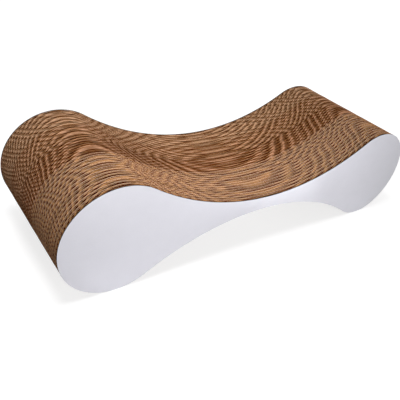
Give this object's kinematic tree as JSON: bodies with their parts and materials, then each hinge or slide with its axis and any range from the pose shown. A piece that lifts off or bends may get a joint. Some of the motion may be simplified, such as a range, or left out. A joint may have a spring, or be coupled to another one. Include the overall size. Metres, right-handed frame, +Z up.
{
  "type": "cat scratcher",
  "caption": "Lounge scratcher of corrugated boards on edge, glued face to face, with two round ends, a curved seat, an arch below and white side panels.",
  "frame": {"origin": "middle of the footprint, on the plane of the two resting flats", "axes": "+X along the length, +Y across the stack from the front panel to the back panel, +Z up"},
  "size_m": [0.782, 0.2628, 0.1925],
  "materials": {
    "board_kraft": "matt, cut edge",
    "panel_white": "satin"
  },
  "bodies": {
    "root": {"side_panel_front": "panel_white", "side_panel_back": "panel_white", "board_01": "board_kraft", "board_02": "board_kraft", "board_03": "board_kraft", "board_04": "board_kraft", "board_05": "board_kraft", "board_06": "board_kraft", "board_07": "board_kraft", "board_08": "board_kraft", "board_09": "board_kraft", "board_10": "board_kraft", "board_11": "board_kraft", "board_12": "board_kraft", "board_13": "board_kraft", "board_14": "board_kraft", "board_15": "board_kraft", "board_16": "board_kraft", "board_17": "board_kraft", "board_18": "board_kraft", "board_19": "board_kraft", "board_20": "board_kraft", "board_21": "board_kraft", "board_22": "board_kraft", "board_23": "board_kraft", "board_24": "board_kraft", "board_25": "board_kraft", "board_26": "board_kraft", "board_27": "board_kraft", "board_28": "board_kraft", "board_29": "board_kraft", "board_30": "board_kraft", "board_31": "board_kraft", "board_32": "board_kraft", "board_33": "board_kraft", "board_34": "board_kraft", "board_35": "board_kraft", "board_36": "board_kraft"}
  },
  "joints": []
}
